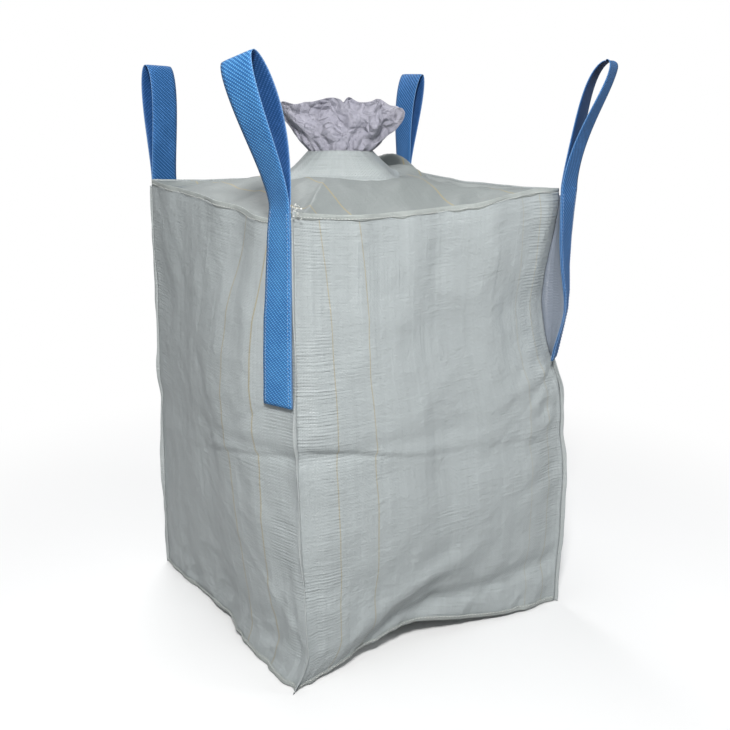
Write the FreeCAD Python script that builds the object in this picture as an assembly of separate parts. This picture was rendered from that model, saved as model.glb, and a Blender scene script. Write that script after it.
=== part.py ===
import FreeCAD, Part
import os
import math

# Bulk bag (flexible intermediate bulk container), millimetres, +Z up.
# Origin: centre of the underside of the base. Front is -Y, left is -X.

# Body
HALF_BASE = 350.0          # half of the square base, outside
HALF_TOP = 333.0           # half of the square top, outside
BODY_HEIGHT = 990.0        # floor to the sewn top edge
WALL = 2.0                 # modelled fabric thickness
MITRE = 500.0              # reach of the diagonal cuts that part the walls

# Corner seams
SEAM_REACH = 7.0           # outward reach along each axis
SEAM_HALF_THICK = 1.5
SEAM_TOP = 968.0

# Hems
HEM_THICK = 1.4
HEM_GAP = 0.1
TOP_HEM_HEIGHT = 18.0
BASE_HEM_HEIGHT = 16.0
HEM_END_GAP = 4.0
THREAD = 0.8               # diameter of the sewing thread

# Top panel, collar and spout
SPOUT_X = -20.0            # the slack cover carries the spout off centre
SPOUT_Y = 12.0
TOP_RIM_Z = 984.0
COLLAR_HALF_LOW = 122.0
COLLAR_Z_LOW = 1010.0
COLLAR_HALF_HIGH = 72.0
COLLAR_Z_HIGH = 1064.0
COLLAR_ROUND_LOW = 60.0
COLLAR_ROUND_HIGH = 64.0
COLLAR_WALL = 2.0
SPOUT_RADIUS_LOW = 66.0
SPOUT_RADIUS_HIGH = 138.0
SPOUT_Z_LOW = 1068.0
SPOUT_Z_HIGH = 1166.0
SPOUT_WALL = 1.5

# Webbing
STRAP_WIDTH = 70.0
STRAP_THICK = 2.5
STRAP_LAYER_GAP = 0.3
STRAP_OFFSET = 1.9         # wall to inner leg, room for the hem
STRAP_FROM_CORNER = 4.0
LEG_TOP = 986.0
LEG_LENGTH = 376.0
PIVOT_RISE = 8.5           # leg top to the bend line of the free loop
ROOT_DROP = 2.7            # free loop reaches this far below its bend line
LOOP_SECTIONS = 33
LEG_SECTIONS = 5
THREAD_LIFT = 0.35

# Free loops: height over the bend line, half opening, lean x, lean y, then the twist about the
# upright and the tilt of the top fold, both in degrees
LOOPS = {
    "front_left": (262.0, 40.0, -64.0, 21.0, 25.0, 18.0),
    "front_right": (258.0, 36.0, 75.0, -22.0, 27.0, 0.0),
    "back_right": (231.0, 29.0, 31.0, 8.0, 17.0, 0.0),
    "back_left": (250.0, 30.0, -2.0, 4.0, 20.0, 0.0),
}


def half_at(z):
    """Half width of the bag outside at height z."""
    return HALF_BASE + (HALF_TOP - HALF_BASE) * z / BODY_HEIGHT


def vec(x, y, z):
    return FreeCAD.Vector(x, y, z)


def polygon(points):
    return Part.makePolygon(points + [points[0]])


def square(half, z, shift=(0.0, 0.0)):
    corners = ((-half, -half), (half, -half), (half, half), (-half, half))
    return polygon([vec(x + shift[0], y + shift[1], z) for x, y in corners])


def loft(wires):
    """Solid with straight lines between the outlines."""
    return Part.makeLoft(wires, True, True)


def frustum(half_low, half_high, z_low, z_high):
    return loft([square(half_low, z_low), square(half_high, z_high)])


def turned(shape, quarter):
    """The shape turned about +Z by a number of quarter turns."""
    copy = shape.copy()
    copy.rotate(vec(0, 0, 0), vec(0, 0, 1), 90.0 * quarter)
    return copy


def save(name, solids):
    shape = solids[0] if len(solids) == 1 else Part.makeCompound(solids)
    shape.exportStep("parts/" + name + ".step")


# Quarter turns that carry the front to each side, and the front-left corner to each corner
SIDES = (("front", 0), ("right", 1), ("back", 2), ("left", 3))
CORNERS = (("front_left", 0), ("front_right", 1), ("back_right", 2), ("back_left", 3))


def seam_strip():
    """Joined edge of two walls at the front-left corner, standing out along the diagonal."""
    side = SEAM_HALF_THICK / math.sqrt(2)
    wires = []
    for z in (0.0, SEAM_TOP):
        inner = -half_at(z) + WALL
        outer = -half_at(z) - SEAM_REACH
        wires.append(polygon([
            vec(inner + side, inner - side, z),
            vec(inner - side, inner + side, z),
            vec(outer - side, outer + side, z),
            vec(outer + side, outer - side, z),
        ]))
    return loft(wires)


def front_panel(seams):
    outer = frustum(HALF_BASE, HALF_TOP, 0, BODY_HEIGHT)
    low = -10.0
    high = BODY_HEIGHT + 10.0
    hollow = frustum(half_at(low) - WALL, half_at(high) - WALL, low, high)
    wedge = Part.Face(polygon([vec(0, 0, low), vec(-MITRE, -MITRE, low), vec(MITRE, -MITRE, low)]))
    sector = wedge.extrude(vec(0, 0, high - low))
    panel = outer.cut(hollow).common(sector)
    for seam in seams:
        panel = panel.cut(seam)
    return max(panel.Solids, key=lambda s: s.Volume)


def base_panel():
    return frustum(half_at(0) - WALL, half_at(WALL) - WALL, 0, WALL)


def top_panel():
    """Top cover: rises from the sewn edge to the rounded hole under the collar."""
    rim = half_at(TOP_RIM_Z) - WALL - 0.1
    shift = (SPOUT_X, SPOUT_Y)
    slab = frustum(rim, rim, TOP_RIM_Z, TOP_RIM_Z + WALL)
    roof = loft([square(rim, TOP_RIM_Z + WALL),
                 square(COLLAR_HALF_LOW, COLLAR_Z_LOW, shift)])
    under = loft([square(rim - WALL, TOP_RIM_Z),
                  square(COLLAR_HALF_LOW - COLLAR_WALL, COLLAR_Z_LOW - WALL, shift)])
    hole = rounded_square(COLLAR_HALF_LOW - COLLAR_WALL, COLLAR_ROUND_LOW - COLLAR_WALL, TOP_RIM_Z)
    drill = Part.Face(hole).extrude(vec(0, 0, COLLAR_Z_LOW - TOP_RIM_Z + 1))
    return slab.fuse(roof).cut(under).cut(drill).removeSplitter().Solids[0]


def rounded_square(half, radius, z):
    """Outline of the collar about the spout's own centre."""
    flat = half - radius
    diagonal = radius / math.sqrt(2)
    edges = []
    for quarter in range(4):
        angle = math.radians(90.0 * quarter)
        c = math.cos(angle)
        s = math.sin(angle)

        def at(x, y):
            return vec(SPOUT_X + x * c - y * s, SPOUT_Y + x * s + y * c, z)

        edges.append(Part.makeLine(at(-flat, -half), at(flat, -half)))
        bend = Part.Arc(at(flat, -half), at(flat + diagonal, -flat - diagonal), at(half, -flat))
        edges.append(bend.toShape())
    return Part.Wire(edges)


def spout_collar():
    outer = loft([rounded_square(COLLAR_HALF_LOW, COLLAR_ROUND_LOW, COLLAR_Z_LOW),
                  rounded_square(COLLAR_HALF_HIGH, COLLAR_ROUND_HIGH, COLLAR_Z_HIGH)])
    inner = loft([rounded_square(COLLAR_HALF_LOW - COLLAR_WALL, COLLAR_ROUND_LOW - COLLAR_WALL,
                                 COLLAR_Z_LOW),
                  rounded_square(COLLAR_HALF_HIGH - COLLAR_WALL, COLLAR_ROUND_HIGH - COLLAR_WALL,
                                 COLLAR_Z_HIGH)])
    return outer.cut(inner).Solids[0]


def fill_spout():
    height = SPOUT_Z_HIGH - SPOUT_Z_LOW
    foot = vec(SPOUT_X, SPOUT_Y, SPOUT_Z_LOW)
    outer = Part.makeCone(SPOUT_RADIUS_LOW, SPOUT_RADIUS_HIGH, height, foot)
    inner = Part.makeCone(SPOUT_RADIUS_LOW - SPOUT_WALL, SPOUT_RADIUS_HIGH - SPOUT_WALL,
                          height, foot)
    return outer.cut(inner).Solids[0]


def front_hem(z_low, z_high):
    """Doubled fabric edge on the outside of the front wall."""
    wires = []
    for z in (z_low, z_high):
        face = -half_at(z) - HEM_GAP
        reach = half_at(z) - HEM_END_GAP
        wires.append(polygon([
            vec(-reach, face, z),
            vec(reach, face, z),
            vec(reach, face - HEM_THICK, z),
            vec(-reach, face - HEM_THICK, z),
        ]))
    return loft(wires)


def front_hem_thread(z):
    """One sewn row along a front hem."""
    reach = half_at(z) - HEM_END_GAP - 2.0
    y = -half_at(z) - HEM_GAP - HEM_THICK - THREAD / 2 - 0.1
    return Part.makeCylinder(THREAD / 2, 2 * reach, vec(-reach, y, z), vec(1, 0, 0))


def strap_frame(corner, z, layer):
    """Centre, width direction and outward direction of one strap layer at height z."""
    offset = STRAP_OFFSET + STRAP_THICK / 2 + layer * (STRAP_THICK + STRAP_LAYER_GAP)
    half = half_at(z)
    if corner == "front_right":
        drop = (LEG_TOP - z) / LEG_LENGTH
        turn = math.radians(4.0 + 41.0 * drop)
        width = vec(math.cos(turn), math.sin(turn), 0)
        out = vec(math.sin(turn), -math.cos(turn), 0)
        centre = vec(half + 8.0 - 10.0 * drop, -half - 1.0 - 16.0 * drop, z) + out * offset
        return centre, width, out
    along = half - STRAP_FROM_CORNER - STRAP_WIDTH / 2
    if corner == "front_left":
        return vec(-half - offset, -along, z), vec(0, -1, 0), vec(-1, 0, 0)
    if corner == "back_right":
        return vec(half + offset, along, z), vec(0, 1, 0), vec(1, 0, 0)
    return vec(-along, half + offset, z), vec(-1, 0, 0), vec(0, 1, 0)


def strap_section(centre, width, thick_dir, thick):
    a = width * (STRAP_WIDTH / 2)
    b = thick_dir * (thick / 2)
    return polygon([centre - a - b, centre + a - b, centre + a + b, centre - a + b])


def leg_loft(corner, layer, thick, over):
    """Strap along its sewn length, layer 0 inside and layer 1 outside; over lengthens both ends."""
    wires = []
    for step in range(LEG_SECTIONS):
        share = step / (LEG_SECTIONS - 1.0)
        z = LEG_TOP + over - (LEG_LENGTH + 2 * over) * share
        centre, width, out = strap_frame(corner, z, layer)
        wires.append(strap_section(centre, width, out, thick))
    return loft(wires)


def strap_leg(corner, layer):
    return leg_loft(corner, layer, STRAP_THICK, 0.0)


def trimmed_seam(seam):
    """The front-right seam, cut back where the strap lies across it."""
    room = leg_loft("front_right", 0, STRAP_THICK + 2 * STRAP_LAYER_GAP, 1.0)
    return max(seam.cut(room).Solids, key=lambda s: s.Volume)


def leg_threads(corner):
    """Two sewn rows along the outer leg."""
    rows = []
    for side in (-1, 1):
        wires = []
        for step in range(LEG_SECTIONS):
            share = step / (LEG_SECTIONS - 1.0)
            z = LEG_TOP - LEG_LENGTH * min(max(share, 0.016), 0.984)
            centre, width, out = strap_frame(corner, z, 1)
            middle = centre + width * (side * (STRAP_WIDTH / 2 - 8.0))
            middle = middle + out * (STRAP_THICK / 2 + THREAD / 2 + THREAD_LIFT)
            a = width * (THREAD / 2)
            b = out * (THREAD / 2)
            wires.append(polygon([middle - a - b, middle + a - b, middle + a + b, middle - a + b]))
        rows.append(loft(wires))
    return rows


def loop_pivot(corner):
    """Middle of the bend line between the sewn legs and the free loop."""
    inner, width, out = strap_frame(corner, LEG_TOP, 0)
    outer = strap_frame(corner, LEG_TOP, 1)[0]
    return (inner + outer) * 0.5 + vec(0, 0, PIVOT_RISE), width, out


def free_loop(corner):
    """Strap up one side, over the top and back down beside itself, as one bent ribbon."""
    height, opening, lean_x, lean_y, twist, tilt = LOOPS[corner]
    pivot, width, out = loop_pivot(corner)
    rise = height + ROOT_DROP
    root = pivot - vec(0, 0, ROOT_DROP)
    stack = (STRAP_THICK + STRAP_LAYER_GAP) / 2

    def frame_at(u):
        s = math.sin(math.pi * u)
        c = math.cos(math.pi * u)
        up = s * s
        turn = FreeCAD.Rotation(vec(0, 0, 1), twist * up)
        bow = opening * 2 * s ** 3 * c + stack * c
        lean = up ** 1.5
        place = root + vec(lean_x * lean, lean_y * lean, rise * up) + turn.multVec(out) * bow
        slope = math.radians(tilt * up)
        across = turn.multVec(width) * math.cos(slope) + vec(0, 0, math.sin(slope))
        return place, across

    wires = []
    for i in range(LOOP_SECTIONS):
        u = i / (LOOP_SECTIONS - 1.0)
        here, across = frame_at(u)
        step = 1e-3
        ahead = frame_at(min(u + step, 1.0))[0]
        behind = frame_at(max(u - step, 0.0))[0]
        if i == 0 or i == LOOP_SECTIONS - 1:
            run = vec(0, 0, 1)
        else:
            run = ahead - behind
            run.normalize()
        across = across - run * across.dot(run)
        across.normalize()
        wires.append(strap_section(here, across, run.cross(across), STRAP_THICK))
    return loft(wires)


def main():
    os.makedirs("parts", exist_ok=True)
    seam = seam_strip()
    for name, quarter in CORNERS:
        strip = turned(seam, quarter)
        if name == "front_right":
            strip = trimmed_seam(strip)
        save("corner_seam_" + name, [strip])
    panel = front_panel([seam, turned(seam, 1)])
    top_hem = front_hem(BODY_HEIGHT - TOP_HEM_HEIGHT, BODY_HEIGHT)
    base_hem = front_hem(0.0, BASE_HEM_HEIGHT)
    for name, quarter in SIDES:
        save("panel_" + name, [turned(panel, quarter)])
        save("top_hem_" + name, [turned(top_hem, quarter)])
        save("base_hem_" + name, [turned(base_hem, quarter)])
    save("panel_base", [base_panel()])
    save("panel_top", [top_panel()])
    save("spout_collar", [spout_collar()])
    save("fill_spout", [fill_spout()])
    row = front_hem_thread(BASE_HEM_HEIGHT - 4.0)
    save("base_hem_thread", [turned(row, quarter) for quarter in range(4)])
    for name, quarter in CORNERS:
        save("loop_legs_" + name, [strap_leg(name, 0), strap_leg(name, 1)])
        save("leg_thread_" + name, leg_threads(name))
        save("loop_" + name, [free_loop(name)])


main()
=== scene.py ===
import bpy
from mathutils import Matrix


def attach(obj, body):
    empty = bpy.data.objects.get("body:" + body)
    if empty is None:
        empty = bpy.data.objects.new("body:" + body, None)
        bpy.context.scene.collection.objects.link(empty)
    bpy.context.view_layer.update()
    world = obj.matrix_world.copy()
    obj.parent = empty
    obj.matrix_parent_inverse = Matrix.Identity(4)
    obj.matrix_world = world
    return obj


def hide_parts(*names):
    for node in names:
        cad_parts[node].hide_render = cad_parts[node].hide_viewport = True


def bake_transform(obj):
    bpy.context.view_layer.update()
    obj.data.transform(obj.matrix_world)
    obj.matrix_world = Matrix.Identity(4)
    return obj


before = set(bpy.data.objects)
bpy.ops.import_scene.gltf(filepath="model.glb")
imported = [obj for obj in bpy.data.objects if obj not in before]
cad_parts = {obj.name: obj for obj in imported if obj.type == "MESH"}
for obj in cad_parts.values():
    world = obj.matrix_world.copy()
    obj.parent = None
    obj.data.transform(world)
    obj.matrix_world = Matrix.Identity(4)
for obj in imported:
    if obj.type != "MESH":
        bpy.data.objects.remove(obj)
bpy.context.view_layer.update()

import math
import bpy
import numpy as np
from mathutils import Vector

# ---------------------------------------------------------------- sizes, metres
# the bag: half its width at the base and at the top edge, and the height of its walls
HALF_BASE, HALF_TOP, HEIGHT = 0.350, 0.333, 0.990
WIDTH = 2 * HALF_BASE
CLOTH_THICK = 0.0008

# the filling spout's centre, and the collar's foot and neck
SPOUT = np.array([-0.020, 0.012])
COLLAR_LOW, COLLAR_HIGH = 1.010, 1.064
# half width and corner radius of the hole in the cover, and of the collar's foot
HOLE_HALF, HOLE_RADIUS = 0.118, 0.034
COLLAR_HALF, COLLAR_RADIUS = 0.122, 0.030
NECK_RADIUS = 0.0715

# straps: LAYER is the step from one sewn leg to the one over it
STRAP_WIDTH, STRAP_THICK, LAYER = 0.070, 0.0025, 0.0028
LEG_TOP, LEG_LENGTH, PIVOT_RISE, ROOT_DROP = 0.986, 0.376, 0.0085, 0.0027

# hems and seam strips
TOP_HEM, BASE_HEM = 0.012, 0.013
STRIP_TOP = 0.974
STRIP_SPLIT = 0.616

# the camera's heading and tilt in radians, and its right and forward directions on the floor
VIEW_YAW, VIEW_PITCH = 0.573, -0.278
RIGHT = np.array([math.cos(VIEW_YAW), -math.sin(VIEW_YAW), 0.0])
AHEAD = np.array([math.sin(VIEW_YAW), math.cos(VIEW_YAW), 0.0])

# walls in turning order seen from above, and the corner where each one starts
NORMALS = np.array([[0, -1, 0], [1, 0, 0], [0, 1, 0], [-1, 0, 0]], float)
SIDES = ("front", "right", "back", "left")
CORNERS = ("front_left", "front_right", "back_right", "back_left")
SIGNS = np.array([[-1, -1], [1, -1], [1, 1], [-1, 1]], float)


def smooth(lo, hi, x):
    t = np.clip((np.asarray(x, float) - lo) / (hi - lo), 0, 1)
    return t * t * (3 - 2 * t)


def hill(x, centre, width):
    return np.exp(-(((np.asarray(x, float) - centre) / width) ** 2))


def through(x, pairs):
    """Smooth curve through (x, value) pairs given in rising order."""
    xs, ys = np.array(pairs, float).T
    fine = np.linspace(xs[0], xs[-1], 400)
    vals = np.interp(fine, xs, ys)
    kernel = np.hanning(25)
    kernel /= kernel.sum()
    vals = np.convolve(np.pad(vals, 12, mode="edge"), kernel, mode="valid")
    return np.interp(x, fine, vals)


def waves(seed, count, low, high, tall=1.0):
    """Sum of cosines over two coordinates; tall below 1 stretches it along the second one."""
    rng = np.random.default_rng(seed)
    k = np.exp(rng.uniform(math.log(low), math.log(high), count))
    a = rng.uniform(0, 2 * math.pi, count)
    kx, ky = k * np.cos(a), k * np.sin(a) * tall
    ph, amp = rng.uniform(0, 2 * math.pi, count), (low / k) ** 0.5

    def f(x, y):
        x, y = np.asarray(x, float), np.asarray(y, float)
        out = np.zeros(np.broadcast(x, y).shape)
        for i in range(count):
            out = out + amp[i] * np.cos(2 * math.pi * (kx[i] * x + ky[i] * y) + ph[i])
        return out / math.sqrt((amp ** 2).sum() / 2)
    return f


def creases(seed, count, low, high, tall=1.0):
    """Sharp-edged version of waves: crumpled cloth, roughly -1 to 1."""
    parts = [waves(seed * 31 + i, 5, low * 1.5 ** i, high * 1.5 ** i, tall) for i in range(count)]

    def f(x, y):
        out = 0
        for i, p in enumerate(parts):
            out = out + (1 - 2 * np.sqrt(p(x, y) ** 2 * 0.35 + 0.004)) * 0.62 ** i
        return out / 1.6
    return f


def facets(seed, count, low, high):
    """Flat facets between sharp ridges, as in crumpled film, roughly -1 to 1."""
    rng = np.random.default_rng(seed)
    k = np.exp(rng.uniform(math.log(low), math.log(high), count))
    a, ph = rng.uniform(0, math.pi, count), rng.uniform(0, 1, count)

    def f(x, y):
        out = 0
        for i in range(count):
            r = k[i] * (np.cos(a[i]) * x + np.sin(a[i]) * y) + ph[i]
            out = out + (4 * np.abs(r - np.floor(r + 0.5)) - 1) * low / k[i]
        return out / math.sqrt((low / k) @ (low / k) / 3) / 1.7
    return f


# ---------------------------------------------------------------- meshes
def make(name, verts, faces, uv=None, smooth_shade=True):
    mesh = bpy.data.meshes.new(name)
    mesh.from_pydata([tuple(v) for v in np.asarray(verts, float).reshape(-1, 3)], [], faces)
    if uv is not None:
        uv = np.asarray(uv, float).reshape(-1, 2)
        layer = mesh.uv_layers.new(name="UVMap")
        index = np.zeros(len(mesh.loops), np.int32)
        mesh.loops.foreach_get("vertex_index", index)
        layer.data.foreach_set("uv", uv[index].astype(np.float32).ravel())
    if smooth_shade:
        mesh.polygons.foreach_set("use_smooth", [True] * len(mesh.polygons))
    mesh.update()
    obj = bpy.data.objects.new(name, mesh)
    bpy.context.scene.collection.objects.link(obj)
    return obj


def grid_faces(rows, cols, close=False, flip=False, base=0):
    faces = []
    last = cols if close else cols - 1
    for i in range(rows - 1):
        for j in range(last):
            n = (j + 1) % cols
            q = (base + i * cols + j, base + i * cols + n,
                 base + (i + 1) * cols + n, base + (i + 1) * cols + j)
            faces.append(q[::-1] if flip else q)
    return faces


def surface(name, points, uv, close=False, flip=False):
    rows, cols = points.shape[:2]
    return make(name, points, grid_faces(rows, cols, close, flip), uv)


def thicken(obj, thick, offset=-1.0):
    m = obj.modifiers.new("cloth thickness", "SOLIDIFY")
    m.thickness, m.offset, m.use_rim = thick, offset, True


# ---------------------------------------------------------------- walls
def corner_shift(i, z):
    """How far corner i's seam has moved along the view's right and along the diagonal."""
    if i == 0:
        side = through(z, [(-0.02, -0.012), (0.0, -0.010), (0.03, 0.006), (0.075, 0.020),
                           (0.16, 0.015), (0.3, 0.009), (0.5, 0.003), (0.99, 0.0)])
        inward = 0.006 * hill(z, 0.505, 0.02) + 0.004 * hill(z, 0.22, 0.05)
    elif i == 1:
        side = through(z, [(-0.02, 0.006), (0.0, 0.007), (0.1, 0.013), (0.25, 0.015), (0.4, 0.012),
                           (0.55, 0.004), (0.60, -0.014), (0.66, -0.034), (0.74, -0.042),
                           (0.81, -0.036), (0.89, -0.018), (0.95, -0.010), (0.99, -0.012)])
        inward = 0.002 * hill(z, 0.43, 0.03)
    elif i == 2:
        side = through(z, [(-0.02, 0.0), (0.6, 0.004), (0.99, 0.014)])
        inward = 0.004 * hill(z, 0.47, 0.03)
    else:
        side = through(z, [(-0.02, 0.002), (0.0, 0.002), (0.3, 0.0), (0.6, -0.004), (0.99, -0.008)])
        inward = 0.004 * hill(z, 0.46, 0.03)
    return side, inward


corner_wobble = waves(5, 8, 1.5, 9)


def half_at(z):
    """Half the bag's width at height z."""
    return HALF_BASE + (HALF_TOP - HALF_BASE) * z / HEIGHT


def corner(i, z):
    """Points on the seam of corner i at the heights z."""
    z = np.asarray(z, float)
    half = half_at(z)
    side, inward = corner_shift(i, z)
    inward = inward + 0.0012 * corner_wobble(z, i * 3.7 + 0 * z)
    out = np.zeros(z.shape + (3,))
    for a in range(2):
        out[..., a] = SIGNS[i, a] * (half - inward) + RIGHT[a] * side
    out[..., 2] = z
    return out


def top_edge_drop(side, u):
    """How far the sewn top edge hangs below the straight line, at share u along a side."""
    if side == 0:
        pairs = [(0, 0.004), (0.05, 0.010), (0.15, 0.018), (0.3, 0.022), (0.5, 0.021), (0.65, 0.018),
                 (0.78, 0.004), (0.9, -0.004), (1, 0.0)]
    elif side == 3:
        pairs = [(0, 0.0), (0.2, 0.003), (0.4, 0.006), (0.6, 0.012), (0.75, 0.020), (0.87, 0.026),
                 (0.95, 0.014), (1, 0.004)]
    else:
        pairs = [(0, 0.0), (0.2, 0.008), (0.5, 0.014), (0.8, 0.008), (1, 0.0)]
    return through(u, pairs)


# the unevenness of each wall, from broad swells to small creases
broad = [waves(20 + k, 10, 1.0, 3.0) for k in range(4)]
drape = [waves(30 + k, 14, 4.0, 11.0, 0.22) for k in range(4)]
rumple = [creases(40 + k, 3, 2.5, 6.0, 0.8) for k in range(4)]
low_folds = [creases(50 + k, 3, 5.0, 10.0, 0.9) for k in range(4)]
foot_crumple = facets(57, 5, 12, 26)


def wall_offset(side, u, z):
    """Outward displacement of a wall, zero at its two corner seams."""
    x = u * WIDTH
    edge = smooth(-0.02, 0.06, u) * smooth(-0.02, 0.06, 1 - u)
    edge = edge * smooth(0, 0.012, u) * smooth(0, 0.012, 1 - u)
    bulge = 0.013 if side == 3 else 0.021
    d = bulge * (1 - np.abs(2 * u - 1) ** 3) * np.sin(math.pi * np.clip(z / HEIGHT, 0, 1)) ** 0.7
    if side == 3:
        d = d + 0.008 * hill(u, 0.66, 0.22) * smooth(0.0, 0.3, z)
    if side == 0:
        d = d + 0.006 * hill(u, 0.22, 0.2) * smooth(0.1, 0.4, z)
    d = d + 0.0045 * broad[side](x, z)
    d = d + 0.0022 * drape[side](x, z) * (0.5 + (0.1 if side == 0 else 0.9) * smooth(0.55, 0.95, z))
    d = d + 0.0024 * rumple[side](x, z)
    d = d + 0.0042 * low_folds[side](x, z) * np.exp(-z / 0.13)
    # the crease that crosses each wall where the bag was folded for storage
    if side == 0:
        line = 0.512 - 0.10 * u + 0.006 * np.sin(9 * u + 1)
        strength = 0.22 + 0.75 * hill(u, 0.10, 0.26)
    elif side == 3:
        line = 0.512 - 0.15 * (1 - u) + 0.005 * np.sin(11 * u)
        strength = 0.08 + 0.70 * smooth(0.3, 0.9, u)
    else:
        line = 0.47 + 0.02 * np.sin(5 * u)
        strength = 0.7
    gap = z - line
    d = d + strength * (0.0055 * np.tanh(gap / 0.010) * np.exp(-np.abs(gap) / 0.10)
                        - 0.0048 * hill(gap, 0, 0.006))
    # slanting pulls from the sewn ends of the straps
    if side == 3:
        r = (1 - u) * WIDTH
        d = d - 0.0035 * hill(z - (0.61 - 0.55 * (r - 0.05)), 0, 0.010) * smooth(0.0, 0.06, r) \
            * np.exp(-r / 0.22)
        d = d + 0.0030 * hill(z - (0.30 + 0.5 * r), 0, 0.02) * np.exp(-r / 0.25)
        d = d - 0.005 * hill(r - 0.05 - 0.28 * (0.26 - z), 0, 0.022) * smooth(0.30, 0.18, z)
        # drape from the top left towards the foot of the strap
        d = d - 0.0022 * hill(z - (0.93 - 1.1 * (0.62 - r)), 0, 0.035) * smooth(0.10, 0.30, r)
        d = d - 0.0045 * hill(r - 0.016 - 0.10 * z, 0, 0.010) * smooth(0.35, 0.1, z)
        d = d + 0.0035 * hill(z - (0.10 + 0.9 * r), 0, 0.015) * np.exp(-r / 0.2)
    if side == 0:
        r = (1 - u) * WIDTH
        d = d - 0.004 * hill(z - (0.60 - 0.75 * r), 0, 0.012) * np.exp(-r / 0.16)
        d = d + 0.003 * hill(z - (0.60 - 0.35 * r), 0, 0.014) * np.exp(-r / 0.20)
        d = d - 0.008 * hill(z, 0.76, 0.11) * np.exp(-r / 0.09)
        left = x
        d = d - 0.0030 * hill(left - 0.028, 0, 0.007) * smooth(0.55, 0.2, z)
        d = d + 0.0040 * hill(left - 0.06 - 0.25 * (0.2 - z), 0, 0.02) * hill(z, 0.08, 0.09)
        # slanting folds over the foot of the wall
        d = d + 0.012 * hill(z - (0.03 + 0.42 * left), 0, 0.040) * smooth(0.06, 0.20, left) \
            * smooth(0.50, 0.34, left)
        d = d - 0.010 * hill(z - (0.005 + 0.16 * left), 0, 0.030) * smooth(0.12, 0.26, left)
        d = d - 0.006 * hill(z - (0.36 - 0.35 * r), 0, 0.020) * np.exp(-r / 0.12)
        # crumpled patch under the foot of the front-right strap
        d = d + 0.0050 * foot_crumple(r, z) * hill(z, 0.53, 0.10) * np.exp(-(r / 0.13) ** 2)
    d = d * edge
    if side == 3:
        # this wall bows out beside the nearest corner
        bow = through(z, [(0.0, 0.0), (0.12, 0.010), (0.35, 0.032), (0.60, 0.044), (0.70, 0.040),
                          (0.78, 0.030), (0.86, 0.014), (0.93, 0.004), (0.99, 0.0)])
        share = through((1 - u) * WIDTH, [(0, 0), (0.03, 0.20), (0.074, 0.50), (0.13, 0.85), (0.20, 1.0),
                                          (0.28, 0.92), (0.42, 0.58), (0.56, 0.25), (0.7, 0)])
        d = d + bow * share
    return d


def foot_lift(side, u):
    """How far the base hem is drawn up off the floor."""
    if side == 0:
        return through(u, [(0, 0), (0.10, 0.006), (0.22, 0.024), (0.36, 0.042), (0.46, 0.046),
                           (0.56, 0.032), (0.70, 0.013), (0.88, 0.005), (1, 0)])
    return 0.006 * np.sin(math.pi * u) ** 2 * (1 + np.sin(9 * u + side))


def wall_points(side, u, z):
    """Points of a wall: u runs left to right seen from outside, z is the height on the cloth."""
    u, z = np.broadcast_arrays(np.asarray(u, float), np.asarray(z, float))
    a, b = corner(side, z), corner((side + 1) % 4, z)
    p = a * (1 - u[..., None]) + b * u[..., None]
    p = p + NORMALS[side] * wall_offset(side, u, z)[..., None]
    near_top = smooth(0.55, HEIGHT, z)
    p[..., 2] -= top_edge_drop(side, u) * near_top
    foot = smooth(0.26, 0.0, z) * foot_lift(side, u)
    p[..., 2] += foot
    return p - NORMALS[side] * 0.55 * foot[..., None]


WALL_COLS, WALL_ROWS = 140, 200


def build_wall(side):
    u = np.linspace(0, 1, WALL_COLS)[None, :]
    z = np.linspace(0.001, HEIGHT - 0.001, WALL_ROWS)[:, None]
    p = wall_points(side, u, z)
    uv = np.stack(np.broadcast_arrays(u * WIDTH, z), -1)
    obj = surface("wall_" + SIDES[side], p, uv)
    thicken(obj, CLOTH_THICK)
    return obj


def wall_band(name, side, z0, z1, out, thick):
    """A doubled strip of cloth lying on a wall between two heights, a distance out from it."""
    rows, trim = 6, 0.004 / WIDTH
    u = np.linspace(trim, 1 - trim, WALL_COLS)[None, :]
    z = np.linspace(z0, z1, rows)[:, None]
    share = (z - z0) / (z1 - z0)
    x = u * WIDTH
    if z0 > HEIGHT / 2:
        # the lower edge of the top hem wanders
        z = z + 0.0016 * (1 - share) * waves(75 + side, 9, 5, 22)(x, 0 * u)
    p = wall_points(side, u, z)
    swell = np.sin(math.pi * np.linspace(0.06, 0.94, rows))[:, None]
    # and it runs out to nothing there
    out = (out + 0.0006 * hill(z, z1, 0.006)) * (smooth(-0.15, 0.35, share) if z0 > HEIGHT / 2 else 1.0)
    ripple = 0.0004 * waves(70 + side, 9, 8, 30)(x, z)
    p = p + NORMALS[side] * (out + 0.0004 * swell + ripple)[..., None]
    uv = np.stack(np.broadcast_arrays(x, z), -1)
    obj = surface(name, p, uv)
    thicken(obj, thick)
    return obj


# ---------------------------------------------------------------- base
def build_base():
    """One closed sheet: its edge follows the base hems, and its middle lies on the floor."""
    rows, side_steps, edge_z, floor_z = 24, 39, 0.0012, 0.0016
    u = np.linspace(0, 1, side_steps + 1)[:-1]
    edge = np.concatenate([wall_points(k, u, np.full(side_steps, edge_z)) for k in range(4)])
    t = np.linspace(0, 1, rows)[:-1, None]
    p = edge[None] * (1 - t[..., None])
    p[..., 2] = floor_z + np.maximum(edge[None, :, 2] - edge_z, 0) * (1 - smooth(0, 0.35, t))
    around = len(edge)
    middle = tuple((rows - 2) * around + k for k in range(around))
    obj = make("base_cloth", p, grid_faces(rows - 1, around, close=True) + [middle], p[..., :2])
    thicken(obj, CLOTH_THICK, 1.0)
    return obj


# ---------------------------------------------------------------- top cover, collar, spout
SIDE_STEPS = 70
RING = 4 * SIDE_STEPS


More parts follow.
